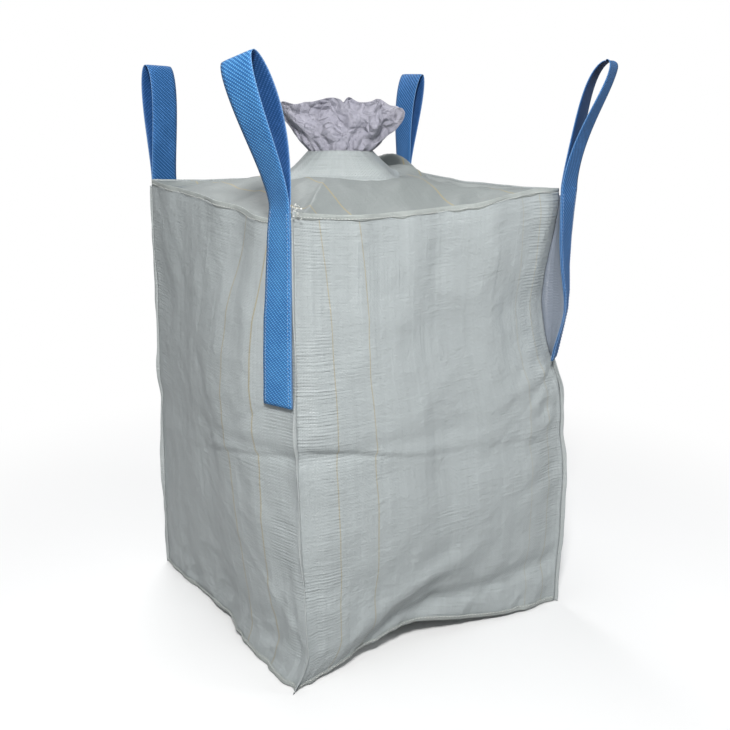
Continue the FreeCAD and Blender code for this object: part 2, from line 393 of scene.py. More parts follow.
def ring_of_walls(z, inset):
    """Points round the inside of all four walls at height z."""
    u = np.arange(SIDE_STEPS) / SIDE_STEPS
    p = np.concatenate([wall_points(side, u, np.full(SIDE_STEPS, z)) for side in range(4)])
    outward = p * np.array([1, 1, 0])
    return p - outward / np.linalg.norm(outward, axis=1, keepdims=True) * inset


def collar_radius(angle, half, radius):
    """Distance from the spout's centre to a rounded square's edge in that direction."""
    flat = half - radius
    best = np.zeros_like(angle)
    for k in range(60):
        a = k * math.pi / 120 + 0 * angle
        for q in range(4):
            cx = math.cos(q * math.pi / 2 + math.pi / 4) * flat * math.sqrt(2)
            cy = math.sin(q * math.pi / 2 + math.pi / 4) * flat * math.sqrt(2)
            b = q * math.pi / 2 + a
            dx, dy = np.cos(angle), np.sin(angle)
            nx, ny = np.cos(b), np.sin(b)
            reach = (cx * nx + cy * ny + radius) / np.maximum(dx * nx + dy * ny, 1e-3)
            reach = np.where(dx * nx + dy * ny > 0.2, reach, 9.0)
            best = reach if (k == 0 and q == 0) else np.minimum(best, reach)
    return best


def build_top():
    outer = ring_of_walls(HEIGHT - 0.004, 0.003)
    d = outer[:, :2] - SPOUT
    angle = np.arctan2(d[:, 1], d[:, 0])
    inner_r = collar_radius(angle + VIEW_YAW, HOLE_HALF, HOLE_RADIUS)
    inner = np.stack([SPOUT[0] + inner_r * np.cos(angle), SPOUT[1] + inner_r * np.sin(angle),
                      np.full(RING, COLLAR_LOW - 0.002)], -1)
    rows = 56
    t = np.linspace(0, 1, rows)[:, None]
    p = outer[None] * (1 - t[..., None]) + inner[None] * t[..., None]
    rise = smooth(0.25, 1.0, t)
    z = outer[None, :, 2] * (1 - rise) + inner[None, :, 2] * rise
    p[..., 2] = z
    x, y = p[..., 0], p[..., 1]
    window = smooth(0, 0.12, t) * smooth(0, 0.10, 1 - t)
    sag = -0.010 * smooth(0, 0.10, t) * (1 - smooth(0.10, 0.75, t))
    crumple = 0.0034 * creases(61, 3, 3.0, 6.0)(x, y) + 0.0040 * waves(62, 10, 1.5, 5)(x, y)
    p[..., 2] += sag + crumple * window
    # folds running from the corners of the bag to the collar
    for i in range(4):
        c = SIGNS[i] * HALF_TOP
        line = np.array([c[0] - SPOUT[0], c[1] - SPOUT[1]])
        line /= np.linalg.norm(line)
        across = (x - SPOUT[0]) * -line[1] + (y - SPOUT[1]) * line[0]
        along = (x - SPOUT[0]) * line[0] + (y - SPOUT[1]) * line[1]
        p[..., 2] += 0.0018 * np.exp(-np.abs(across) / 0.020) * smooth(0.05, 0.15, along) * window
    # rumpled ridge behind and to the right of the spout
    back = np.array([0.205, 0.115])
    dx, dy = x - back[0], y - back[1]
    along, across = dx * 0.80 - dy * 0.60, dx * 0.60 + dy * 0.80
    crest = hill(across, 0.004 * np.sin(60 * along), 0.012)
    p[..., 2] += 0.042 * crest * hill(along, -0.005, 0.062) * window
    p[..., 2] += 0.016 * hill(across, -0.05, 0.012) * hill(along, 0.04, 0.045) * window
    uv = np.stack([x, y], -1)
    obj = surface("top_cover", p, uv, close=True)
    thicken(obj, CLOTH_THICK)
    return obj


def build_collar():
    angle = np.arange(RING) / RING * 2 * math.pi
    low_r = collar_radius(angle + VIEW_YAW, COLLAR_HALF, COLLAR_RADIUS) + 0.003
    high_r = NECK_RADIUS + 0.0008 * np.cos(4 * angle)
    rows = 30
    t = np.linspace(0, 1, rows)[:, None]
    r = low_r * (1 - t) + high_r * t + 0.010 * (1 - smooth(0, 0.14, t))
    fold = creases(81, 3, 3, 7)(angle[None] * 0.10, t * 0.08)
    gathers = np.sin(34 * angle + 2 * np.sin(3 * angle)) * t ** 3
    r = r + 0.0012 * fold * np.sin(math.pi * t) + 0.0006 * gathers
    x, y = SPOUT[0] + r * np.cos(angle), SPOUT[1] + r * np.sin(angle)
    across = (x - SPOUT[0]) * RIGHT[0] + (y - SPOUT[1]) * RIGHT[1]
    neck_droop = 0.005 * (across / 0.07) ** 2 * t ** 2
    z = COLLAR_LOW - 0.0015 + (COLLAR_HIGH - COLLAR_LOW + 0.0050) * t - neck_droop
    z = z + 0.0009 * waves(83, 6, 3, 9)(angle[None] * 0.1, t * 0.2) * (1 - t)
    p = np.stack([x, y, z], -1)
    uv = np.stack(np.broadcast_arrays(angle[None] * 0.11, t * 0.085), -1)
    obj = surface("collar", p, uv, close=True)
    thicken(obj, 0.0010)
    return obj


def build_spout():
    n, rows = 420, 70
    angle = np.arange(n)[None] / n * 2 * math.pi
    t = np.linspace(-0.10, 1, rows)[:, None]
    up = np.clip(t, 0, 1)
    c, s = np.cos(angle), np.sin(angle)
    # c runs along the view's right, s away from the viewer
    wide = 0.0665 + (0.138 - 0.0665) * up ** 0.96 * (1 + 0.12 * smooth(0, -1, c))
    deep = 0.0655 + (0.034 - 0.0655) * smooth(0.0, 0.9, up) + 0.030 * smooth(0.2, 1.0, c) * up
    pleat = np.sin(21 * angle + 1.3 * np.sin(2 * angle) + 0.6 * np.sin(5 * angle))
    wavy = np.sin(5 * angle + 0.8) + 0.7 * np.sin(8 * angle + 2.2) + 0.5 * np.sin(13 * angle + 0.4)
    crumple = facets(91, 6, 8.0, 24.0)(angle * 0.11, up * 0.12 + 0 * angle)
    crumple2 = waves(92, 16, 6.0, 22.0)(angle * 0.15, up * 0.12 + 0 * angle)
    push = 0.0020 * pleat * (1 - smooth(0.1, 0.7, up)) * smooth(-0.05, 0.06, t)
    uneven = 0.0050 * wavy * smooth(0.15, 1, up) + 0.0080 * crumple + 0.0014 * crumple2
    push = push + uneven * smooth(0.02, 0.35, up)
    x = wide * c + push * c * 0.5
    y = deep * s + 1.5 * push * np.sign(s) * np.abs(s) ** 0.5
    slide = 0.006 * np.sin(9 * angle + 4 * up) * smooth(0.2, 1, up)
    x = x + slide * np.abs(s)
    # rim: highest at the left and middle, low at the right tip, with a torn-looking notch
    front = smooth(0.3, -0.3, s)
    rim = 0.106 + 0.004 * np.sin(3 * angle) + 0.003 * np.sin(7 * angle + 1) + 0.0015 * np.sin(17 * angle)
    rim = rim - 0.042 * smooth(0.55, 1.0, c) * (0.4 + 0.6 * front) - 0.006 * hill(c, 0.05, 0.05) * front
    rim = rim + 0.006 * hill(c, 0.20, 0.10) * front - 0.012 * (1 - front) * (1 - smooth(0.2, 0.6, c))
    z = COLLAR_HIGH - 0.001 - 0.005 * (wide * c / 0.07) ** 2 * (1 - up) + rim * t
    p = (np.array([SPOUT[0], SPOUT[1], 0]) + x[..., None] * RIGHT + y[..., None] * AHEAD)
    p[..., 2] = z
    uv = np.stack(np.broadcast_arrays(angle * 0.15, t * 0.12), -1)
    obj = surface("spout_cloth", p, uv, close=True)
    thicken(obj, 0.0005, 0.0)
    return obj


# ---------------------------------------------------------------- straps
def strap_frame(i, z, layer):
    """Centre, width direction and outward direction of one strap layer at height z."""
    offset = 0.0019 + STRAP_THICK / 2 + layer * LAYER
    if i == 1:
        half = half_at(z)
        turn = math.radians(float(through(z, [(0.60, 38), (0.64, 37), (0.69, 41), (0.74, 41),
                                              (0.79, 36), (0.86, 29), (0.93, 24), (1.0, 18)])))
        width = np.array([math.cos(turn), math.sin(turn), 0])
        out = np.array([math.sin(turn), -math.cos(turn), 0])
        shift = float(through(z, [(0.60, -0.018), (0.64, -0.010), (0.68, 0.0), (0.72, 0.008),
                                  (0.76, 0.009), (0.82, 0.004), (0.88, 0.003), (0.94, 0.005),
                                  (1.0, 0.008)]))
        centre = np.array([half, -half, z]) + RIGHT * shift - AHEAD * 0.004 + out * offset
        return centre, width, out
    # the other three lie on the wall that ends at their corner
    side = (i - 1) % 4
    near, far = [wall_points(side, 1 - r / (2 * HALF_BASE), np.array(z)) for r in (0.004, 0.074)]
    width = (near - far) * np.array([1, 1, 0])
    width /= np.linalg.norm(width)
    out = np.array([width[1], -width[0], 0])
    if i == 3:
        # above its stitching this strap stands off the wall, turned about the corner
        turn = 23 * float(smooth(0.86, 0.97, z))
        width, out = turned(width, turn), turned(out, turn)
        far = near - width * STRAP_WIDTH
    middle = np.array([(near[0] + far[0]) / 2, (near[1] + far[1]) / 2, z])
    return middle + out * (offset + 0.001), width, out


# height over the bend line, half opening, lean x, lean y, twist and tilt in degrees
LOOPS = ((0.262, 0.038, -0.064, 0.021, 25, 18), (0.258, 0.034, 0.075, -0.022, 13, 0),
         (0.231, 0.022, 0.031, 0.008, 17, 0), (0.250, 0.028, 0.000, 0.004, 0, 3))


def turned(v, degrees):
    a = math.radians(degrees)
    return np.array([v[0] * math.cos(a) - v[1] * math.sin(a), v[0] * math.sin(a) + v[1] * math.cos(a), v[2]])


def strap_path(i):
    """Points, width directions and thickness directions from the outer leg's end to the inner one's."""
    height, opening, lean_x, lean_y, twist, tilt = LOOPS[i]
    spots, widths = [], []
    legs = np.linspace(LEG_TOP - LEG_LENGTH, LEG_TOP, 60)
    for z in legs:
        c, w, _ = strap_frame(i, z, 1)
        spots.append(c)
        widths.append(w)
    inner, w0, o0 = strap_frame(i, LEG_TOP, 0)
    outer = strap_frame(i, LEG_TOP, 1)[0]
    root = (inner + outer) / 2 + np.array([0, 0, PIVOT_RISE - ROOT_DROP])
    rise = height + ROOT_DROP
    for u in np.linspace(0, 1, 121):
        s, c = math.sin(math.pi * u), math.cos(math.pi * u)
        up = s * s
        bow = opening * 2 * s ** (5 if i == 1 else 3) * c + LAYER / 2 * c
        lean = up ** 1.5
        place = root + np.array([lean_x * lean, lean_y * lean, rise * up]) + turned(o0, twist * up) * bow
        spots.append(place)
        slope = math.radians(tilt * up)
        widths.append(turned(w0, twist * up) * math.cos(slope) + np.array([0, 0, math.sin(slope)]))
    for z in legs[::-1]:
        c, w, _ = strap_frame(i, z, 0)
        spots.append(c)
        widths.append(w)
    return np.array(spots), np.array(widths)


def ribbon(name, spots, widths, width, thick, across=9):
    """Closed flat webbing along a path, with rounded edges."""
    run = np.gradient(spots, axis=0)
    run /= np.linalg.norm(run, axis=1, keepdims=True)
    w = widths - run * (widths * run).sum(1, keepdims=True)
    w /= np.linalg.norm(w, axis=1, keepdims=True)
    b = np.cross(run, w)
    length = np.concatenate([[0], np.cumsum(np.linalg.norm(np.diff(spots, axis=0), axis=1))])
    s = np.linspace(-1, 1, across)
    section = [(x, 1) for x in s] + [(x, -1) for x in s[::-1]]
    pts, uv = [], []
    for x, side in section:
        lift = side * thick / 2 * (0.45 if abs(x) > 0.999 else 1.0)
        pts.append(spots + w * (x * width / 2) + b * lift)
        uv.append(np.stack([np.full(len(spots), x * width / 2), length], -1))
    p, t = np.stack(pts, 1), np.stack(uv, 1)
    rows, cols = p.shape[:2]
    faces = grid_faces(rows, cols, close=True)
    faces.append(tuple(range(cols))[::-1])
    faces.append(tuple((rows - 1) * cols + k for k in range(cols)))
    obj = make(name, p, faces, t)
    # the first half of the section faces the inside of the loop; these faces take the second material,
    # painted darker as painted shade
    inside = [1 if f < (rows - 1) * cols and f % cols < across - 1 else 0 for f in range(len(faces))]
    obj.data.polygons.foreach_set("material_index", inside)
    return obj


# ---------------------------------------------------------------- corner seams
def seam_flap(i, name, low=0.001, high=STRIP_TOP):
    """The joined edges of two walls, standing out from corner i between two heights."""
    rows, cols = 170, 6
    z = np.linspace(low, high, rows)
    foot = corner(i, z)
    foot[:, 2] = z
    out = np.array([SIGNS[i][0], SIGNS[i][1], 0]) / math.sqrt(2)
    reach = 0.0085 + 0.0012 * waves(140 + i, 7, 3, 14)(z, 0 * z)
    if i == 3:
        # this strip lies flatter near the top edge
        reach = reach * (1 - 0.6 * smooth(0.78, 0.95, z))
    curl = 0.003 * waves(150 + i, 6, 1.5, 7)(z, 0 * z)
    side = np.array([-out[1], out[0], 0])
    if i == 1:
        # the flap is drawn out to the strap that hangs off this corner
        pull = smooth(0.60, 0.66, z) * smooth(0.96, 0.88, z)
        frames = [strap_frame(1, h, 1) for h in z]
        strap = np.array([centre - width * 0.028 for centre, width, _ in frames])
    rows_pts = []
    for r in range(rows):
        line = []
        for c in range(cols):
            s = c / (cols - 1)
            p = foot[r] + out * (reach[r] * s) + side * curl[r] * s * s
            if i == 1:
                q = foot[r] * (1 - s) + strap[r] * s
                q[2] = z[r]
                q = q + AHEAD * 0.010 * math.sin(math.pi * s) * pull[r]
                p = p * (1 - pull[r]) + q * pull[r]
            line.append(p)
        rows_pts.append(line)
    p = np.array(rows_pts)
    uv = np.stack(np.broadcast_arrays(np.linspace(0, 0.012, cols)[None], z[:, None]), -1)
    obj = surface(name, p, uv)
    thicken(obj, 0.0016, 0.0)
    return obj


# ---------------------------------------------------------------- stitches
def dashes(name, spots, directions, normals, length):
    """Small rounded stitches as one object."""
    verts, faces = [], []
    ring, width, lift = 6, 0.0011, 0.0003
    for c, d, n in zip(spots, directions, normals):
        d = d / np.linalg.norm(d)
        side = np.cross(n, d)
        side /= np.linalg.norm(side)
        base = len(verts)
        for t, r, h in ((-0.5, 0.45, -0.3), (-0.25, 1, 0.5), (0.25, 1, 0.5), (0.5, 0.45, -0.3)):
            for k in range(ring):
                a = 2 * math.pi * k / ring
                verts.append(c + d * t * length + (side * math.cos(a) + n * math.sin(a)) * width / 2 * r
                             + n * lift * h)
        for j in range(3):
            for k in range(ring):
                m = (k + 1) % ring
                faces.append((base + j * ring + k, base + j * ring + m,
                              base + (j + 1) * ring + m, base + (j + 1) * ring + k))
        faces.append(tuple(base + k for k in range(ring))[::-1])
        faces.append(tuple(base + 3 * ring + k for k in range(ring)))
    return make(name, verts, faces)


def hem_stitches(z, out):
    """Places, directions and normals of a row of stitches round the four walls."""
    step, trim, jitter = 0.0075, 0.010, 0.0004
    n = int((WIDTH - 2 * trim) / step)
    u = np.linspace(trim / WIDTH, 1 - trim / WIDTH, n)
    places, directions, normals = [], [], []
    for side in range(4):
        wander = jitter * waves(170 + side, 5, 3, 20)(u, 0 * u)
        p = wall_points(side, u, z + wander) + NORMALS[side] * out
        places += list(p)
        directions += list(np.gradient(p, axis=0))
        normals += [NORMALS[side]] * n
    return places, directions, normals


# ---------------------------------------------------------------- materials
def srgb(*colour):
    """Linear colour from display values of 0 to 255."""
    return tuple(((c / 255 + 0.055) / 1.055) ** 2.4 for c in colour) + (1.0,)


def scaled(colour, gain, top=0.95):
    """A darker or lighter version of a linear colour."""
    return tuple(min(c * gain, top) for c in colour[:3]) + (1.0,)


class Nodes:
    """Short hand for building a material's nodes."""

    def __init__(self, name):
        self.mat = bpy.data.materials.new(name)
        self.mat.use_nodes = True
        self.tree = self.mat.node_tree
        self.bsdf = self.tree.nodes["Principled BSDF"]

    def new(self, kind, **values):
        node = self.tree.nodes.new(kind)
        for key, value in values.items():
            setattr(node, key, value)
        return node

    def link(self, a, b):
        self.tree.links.new(a, b)

    def math(self, op, a, b=None, c=None, clamp=False):
        node = self.new("ShaderNodeMath", operation=op, use_clamp=clamp)
        for i, v in enumerate((a, b, c)):
            if v is None:
                continue
            if hasattr(v, "default_value"):
                self.link(v, node.inputs[i])
            else:
                node.inputs[i].default_value = v
        return node.outputs[0]

    def mix(self, share, a, b, blend="MIX"):
        node = self.new("ShaderNodeMix", data_type="RGBA", blend_type=blend)
        for socket, v in ((node.inputs[0], share), (node.inputs[6], a), (node.inputs[7], b)):
            if hasattr(v, "default_value"):
                self.link(v, socket)
            else:
                socket.default_value = v
        return node.outputs[2]

    def noise(self, vector, scale, detail=4.0, rough=0.55, stretch=(1, 1, 1)):
        spread = self.new("ShaderNodeMapping")
        spread.inputs["Scale"].default_value = stretch
        self.link(vector, spread.inputs["Vector"])
        node = self.new("ShaderNodeTexNoise")
        node.inputs["Scale"].default_value = scale
        node.inputs["Detail"].default_value = detail
        node.inputs["Roughness"].default_value = rough
        self.link(spread.outputs[0], node.inputs["Vector"])
        return node.outputs["Fac"]

    def bump(self, height, distance, strength=1.0, under=None):
        node = self.new("ShaderNodeBump")
        node.inputs["Strength"].default_value = strength
        node.inputs["Distance"].default_value = distance
        self.link(height, node.inputs["Height"])
        if under is not None:
            self.link(under, node.inputs["Normal"])
        return node.outputs[0]


def woven(name, colour, yarns=(), pitch=0.0030, rough=0.36, crinkle=0.0010, dark=0.80, pull=0.0,
          yarn_half=0.0014, weave_bump=0.0005, film=0.0, streaks=1.0, weft_strip=0.0):
    """Coated woven tape cloth on UVs in metres.

    yarns holds the place and strength of each coloured marker yarn, and pull says how far they are
    drawn sideways at the top. weft_strip is how far from a seam the weft shows, and film adds the
    sharp creases of thin sheet.
    """
    yarn_colour = (164, 148, 100)
    m = Nodes(name)
    uv = m.new("ShaderNodeTexCoord").outputs["UV"]
    split = m.new("ShaderNodeSeparateXYZ")
    m.link(uv, split.inputs[0])
    x, y = split.outputs[0], split.outputs[1]
    obj = m.new("ShaderNodeTexCoord").outputs["Object"]
    # tapes: two crossing sets, each rounded, over and under in a checker
    tau = 2 * math.pi / pitch
    across = m.math("ABSOLUTE", m.math("SINE", m.math("MULTIPLY", x, tau / 2)))
    along = m.math("ABSOLUTE", m.math("SINE", m.math("MULTIPLY", y, tau / 2)))
    checker = m.new("ShaderNodeTexChecker")
    checker.inputs["Scale"].default_value = 1 / pitch
    m.link(uv, checker.inputs["Vector"])
    weave = m.math("ADD", m.math("MULTIPLY", across, checker.outputs["Fac"]),
                   m.math("MULTIPLY", along, m.math("SUBTRACT", 1.0, checker.outputs["Fac"])))
    # tapes of slightly different shade, crossed by finer rows that show in patches; the rows in the patches
    # are partly the weave's own lines and partly painted glints
    bands = m.noise(uv, 1.0, 3, 0.65, (62, 1.6, 1))
    rows = m.noise(uv, 1.0, 2, 0.6, (10, 190, 1))
    cloud = m.noise(obj, 3.2, 4, 0.6)
    fine = m.noise(obj, 60, 3, 0.6)
    patch = m.math("MULTIPLY", m.math("SUBTRACT", m.noise(obj, 5.5, 3, 0.6), 0.42), 4.0, clamp=True)
    if weft_strip:
        # beside the seams the weft shows as even level lines
        wander = m.noise(uv, 1.0, 2, 0.5, (9, 26, 1))
        wave = m.math("SINE", m.math("ADD", m.math("MULTIPLY", y, 2 * math.pi / 0.0068),
                                     m.math("MULTIPLY", wander, 7.0)))
        side_low = m.math("LESS_THAN", x, weft_strip)
        side_high = m.math("GREATER_THAN", x, WIDTH - weft_strip)
        strip = m.math("ADD", m.math("ADD", side_low, side_high, clamp=True), 0.25)
        patch = m.math("MULTIPLY", patch, m.math("ADD", 0.55, strip, clamp=True))
        uneven = m.math("MULTIPLY", m.math("SUBTRACT", m.noise(obj, 11, 3, 0.6), 0.36), 4.5, clamp=True)
        strip = m.math("MULTIPLY", strip, uneven)
        lines = m.math("MULTIPLY", wave, strip)
    folded = m.noise(uv, 1.0, 2, 0.5, (7.0, 0.5, 1))
    tone = m.math("ADD", m.math("MULTIPLY", m.math("SUBTRACT", bands, 0.5), 0.75),
                  m.math("MULTIPLY", m.math("MULTIPLY", m.math("SUBTRACT", rows, 0.5), 1.5), patch))
    tone = m.math("MULTIPLY", tone, streaks)
    # the level weft lines beside the seams are partly painted glints as well
    if weft_strip:
        tone = m.math("ADD", tone, m.math("MULTIPLY", lines, 0.055))
    tone = m.math("ADD", tone, m.math("MULTIPLY", m.math("SUBTRACT", cloud, 0.5), 0.55))
    tone = m.math("ADD", tone, m.math("MULTIPLY", m.math("SUBTRACT", fine, 0.5), 0.10))
    tone = m.math("ADD", tone, 0.55, clamp=True)
    base = srgb(*colour)
    colour_out = m.mix(tone, scaled(base, dark), scaled(base, 1.10))
    # the dips between the tapes are painted darker: painted shade in the grooves of the weave
    colour_out = m.mix(m.math("MULTIPLY", m.math("SUBTRACT", 1.0, weave), 0.10), colour_out,
                       scaled(base, 0.72))
    if yarns:
        total = None
        for i, (place, strength) in enumerate(yarns):
            drift = m.new("ShaderNodeTexNoise", noise_dimensions="1D")
            drift.inputs["Scale"].default_value = 2.2
            drift.inputs["Detail"].default_value = 1.0
            m.link(m.math("ADD", y, 3.1 * i), drift.inputs["W"])
            centre = m.math("MULTIPLY", m.math("SUBTRACT", drift.outputs["Fac"], 0.5), 0.012)
            if pull:
                bend = m.new("ShaderNodeMapRange", interpolation_type="SMOOTHSTEP")
                bend.inputs["From Min"].default_value, bend.inputs["From Max"].default_value = 0.76, 1.02
                bend.inputs["To Max"].default_value = pull
                m.link(y, bend.inputs["Value"])
                centre = m.math("ADD", centre, bend.outputs[0])
            gap = m.math("ABSOLUTE", m.math("SUBTRACT", m.math("SUBTRACT", x, place), centre))
            line = m.math("SUBTRACT", 1.0, m.math("DIVIDE", gap, yarn_half), clamp=True)
            line = m.math("MULTIPLY", m.math("POWER", line, 0.5), strength)
            total = line if total is None else m.math("ADD", total, line, clamp=True)
        broken = m.math("ADD", 0.55, m.math("MULTIPLY", rows, 0.6), clamp=True)
        colour_out = m.mix(m.math("MULTIPLY", total, broken), colour_out, srgb(*yarn_colour))
    m.link(colour_out, m.bsdf.inputs["Base Color"])
    wear = m.noise(obj, 14, 5, 0.65)
    m.link(m.math("ADD", rough - 0.12, m.math("MULTIPLY", wear, 0.26)), m.bsdf.inputs["Roughness"])
    m.bsdf.inputs["Sheen Weight"].default_value = 0.05
    m.bsdf.inputs["Sheen Roughness"].default_value = 0.5
    m.bsdf.inputs["Specular IOR Level"].default_value = 0.6
    # relief, from large creases down to the weave
    wrinkle = m.noise(obj, 7.0, 6, 0.62)
    ridge = m.math("POWER", m.math("ABSOLUTE", m.math("SUBTRACT", wrinkle, 0.5)), 0.7)
    creased = m.bump(ridge, crinkle * 6, 0.6)
    crumple = m.noise(obj, 22.0, 4, 0.6)
    creased = m.bump(m.math("ABSOLUTE", m.math("SUBTRACT", crumple, 0.5)), crinkle * 2.5, 0.5, creased)
    ribs = m.bump(m.math("ADD", bands, m.math("MULTIPLY", m.math("MULTIPLY", rows, 1.1), patch)),
                  0.0030 * streaks, 0.8, m.bump(folded, 0.012, 0.7, creased))
    if weft_strip:
        ribs = m.bump(lines, 0.00028, 0.8, ribs)
        puckers = m.noise(uv, 1.0, 4, 0.6, (16, 34, 1))
        puckers = m.math("ABSOLUTE", m.math("SUBTRACT", puckers, 0.5))
        ribs = m.bump(puckers, 0.0060, 0.6, ribs)
    if film:
        cells = m.new("ShaderNodeTexVoronoi", feature="DISTANCE_TO_EDGE")
        cells.inputs["Scale"].default_value = 46
        m.link(obj, cells.inputs["Vector"])
        folds = m.math("MULTIPLY", cells.outputs["Distance"], 3.0, clamp=True)
        ribs = m.bump(folds, film, 0.8, ribs)
    m.link(m.bump(weave, weave_bump, 0.9, ribs), m.bsdf.inputs["Normal"])
    return m.mat


def webbing(name, colour, relief=1.0):
    """Twill webbing on UVs in metres: x across from the middle, y along."""
    m = Nodes(name)
    uv = m.new("ShaderNodeTexCoord").outputs["UV"]
    split = m.new("ShaderNodeSeparateXYZ")
    m.link(uv, split.inputs[0])
    x, y = split.outputs[0], split.outputs[1]
    obj = m.new("ShaderNodeTexCoord").outputs["Object"]
    diagonal = m.math("ADD", m.math("MULTIPLY", x, 2 * math.pi / 0.0098),
                      m.math("MULTIPLY", y, 2 * math.pi / 0.0080))
    counter = m.math("SUBTRACT", m.math("MULTIPLY", x, 2 * math.pi / 0.0072),
                     m.math("MULTIPLY", y, 2 * math.pi / 0.0046))
    twill = m.math("MULTIPLY", m.math("ADD", m.math("SINE", diagonal), 1.0), 0.5)
    knots = m.math("MULTIPLY", m.math("ADD", m.math("SINE", counter), 1.0), 0.5)
    height = m.math("MULTIPLY", m.math("POWER", twill, 1.3), m.math("POWER", knots, 0.9))
    cloud = m.noise(obj, 11, 4, 0.6)
    lint = m.noise(obj, 160, 2, 0.5)
    base = srgb(*colour)
    # the raised twill is painted towards pale as painted highlights and the low weave towards deep as
    # painted shade, mixed with random cloud and lint
    deep = scaled(base, 0.62)
    pale = tuple(min(c * 2.3 + 0.09, 0.9) for c in base[:3]) + (1.0,)
    share = m.math("ADD", m.math("MULTIPLY", height, 0.85 * relief),
                   m.math("MULTIPLY", m.math("SUBTRACT", cloud, 0.5), 0.5))
    share = m.math("ADD", share, m.math("MULTIPLY", m.math("SUBTRACT", lint, 0.5), 0.25), clamp=True)
    tint = m.mix(share, deep, pale)
    # the edges are painted lighter: a painted highlight along the selvedges
    selvedge_highlight = m.math("GREATER_THAN", m.math("ABSOLUTE", x), STRAP_WIDTH / 2 - 0.0012)
    tint = m.mix(m.math("MULTIPLY", selvedge_highlight, 0.55), tint, srgb(120, 160, 205))
    m.link(tint, m.bsdf.inputs["Base Color"])
    m.bsdf.inputs["Roughness"].default_value = 0.60
    m.bsdf.inputs["Specular IOR Level"].default_value = 0.30
    m.bsdf.inputs["Sheen Weight"].default_value = 0.08
    m.bsdf.inputs["Sheen Tint"].default_value = (0.6, 0.75, 1, 1)
    m.link(m.bump(height, 0.0010 * relief, 0.9), m.bsdf.inputs["Normal"])
    return m.mat


def plain(name, colour):
    """Matt thread of one colour with a fine grain."""
    m = Nodes(name)
    obj = m.new("ShaderNodeTexCoord").outputs["Object"]
    grain = m.noise(obj, 400, 2, 0.5)
    base = srgb(*colour)
    m.link(m.mix(grain, scaled(base, 0.75), base), m.bsdf.inputs["Base Color"])
    m.bsdf.inputs["Roughness"].default_value = 0.6
    m.bsdf.inputs["Sheen Weight"].default_value = 0.2
    return m.mat


def finish_piece(obj, material, node):
    """Give a piece of the bag itself its material in a slot, attach it to the bag and hide the node it
    stands for.
    """
    obj.data.materials.append(material)
    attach(obj, "bag")
    if node:
        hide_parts(node)


# ---------------------------------------------------------------- the pieces
CLOTH = (173, 180, 181)
YARNS = {
    "front": ((0.080, 0.75), (0.168, 0.75), (0.600, 0.35), (0.655, 0.5)),
    "left": ((0.490, 0.85), (0.592, 0.85)),
    "right": ((0.12, 0.7), (0.60, 0.7)),
    "back": ((0.09, 0.7), (0.17, 0.7), (0.61, 0.7)),
}

# how far the marker yarns are drawn sideways at the sewn top edge
PULL = {"front": -0.020, "left": 0.030, "right": 0.010, "back": -0.010}

for k, side in enumerate(SIDES):
    cloth = woven("cloth_" + side, CLOTH, YARNS[side], pull=PULL[side],
                  yarn_half=0.0020 if side == "left" else 0.0014, weft_strip=0.082)
    finish_piece(build_wall(k), cloth, "panel_" + side)

hem_cloth = woven("hem_cloth", (170, 176, 173), crinkle=0.0010)
for k, side in enumerate(SIDES):
    top = wall_band("top_hem_" + side + "_band", k, HEIGHT - TOP_HEM, HEIGHT - 0.0005, 0.0009, 0.0005)
    finish_piece(top, hem_cloth, "top_hem_" + side)
    low = wall_band("base_hem_" + side + "_band", k, 0.0012, BASE_HEM, 0.0010, 0.0007)
    finish_piece(low, hem_cloth, "base_hem_" + side)

# the cover is the walls' cloth painted darker: painted shade on the top
top_cloth_painted_shade = woven("top_cloth_painted_shade", (134, 140, 139), ((-0.235, 0.9), (-0.155, 0.9), (0.085, 0.9), (0.215, 0.7)),
                  dark=0.78, yarn_half=0.0022, weave_bump=0.0001, streaks=0.35, rough=0.56)
finish_piece(build_top(), top_cloth_painted_shade, "panel_top")
collar_cloth = woven("collar_cloth", (166, 173, 173), crinkle=0.0008)
finish_piece(build_collar(), collar_cloth, "spout_collar")

spout = build_spout()
# the thin cloth is painted a lavender grey: a painted cast of shade
spout.data.materials.append(woven("spout_cloth", (168, 167, 180), pitch=0.0022, crinkle=0.0030, film=0.006))
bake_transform(spout)
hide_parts("fill_spout")


finish_piece(build_base(), woven("base_weave", (165, 170, 168)), "panel_base")

# all four straps are one webbing: the nearest is painted lighter as painted light, the other three a little
# darker as painted shade
lit_strap_blue = webbing("lit_strap_webbing", (50, 118, 190))
blue = webbing("shaded_strap_webbing", (30, 96, 156))
# the insides of the loops are painted darker and flatter: painted shade
shaded_inner_blue = webbing("shaded_inner_webbing", (26, 84, 146), relief=0.45)
for i, name in enumerate(CORNERS):
    spots, widths = strap_path(i)
    strap = ribbon("strap_" + name, spots, widths, STRAP_WIDTH, STRAP_THICK)
    strap.data.materials.append(lit_strap_blue if i == 0 else blue)
    strap.data.materials.append(shaded_inner_blue)
    x, y, _ = strap_frame(i, LEG_TOP, 0)[0]
    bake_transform(strap)
    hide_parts("loop_" + name, "loop_legs_" + name)

thread = plain("sewing_thread", (222, 224, 220))
blue_thread = plain("strap_thread", (150, 178, 214))
for i, name in enumerate(CORNERS):
    spots, dirs, norms = [], [], []
    for z in np.arange(LEG_TOP - LEG_LENGTH + 0.008, LEG_TOP - 0.004, 0.0072):
        c, w, o = strap_frame(i, z, 1)
        for side in (-1, 1):
            spots.append(c + w * side * (STRAP_WIDTH / 2 - 0.0065) + o * (STRAP_THICK / 2 + 0.0002))
            dirs.append(np.array([0, 0, 1.0]) + w * 0.25 * side)
            norms.append(o)
    leg_rows = dashes("leg_stitches_" + name, spots, dirs, norms, 0.0048)
    finish_piece(leg_rows, blue_thread, "leg_thread_" + name)

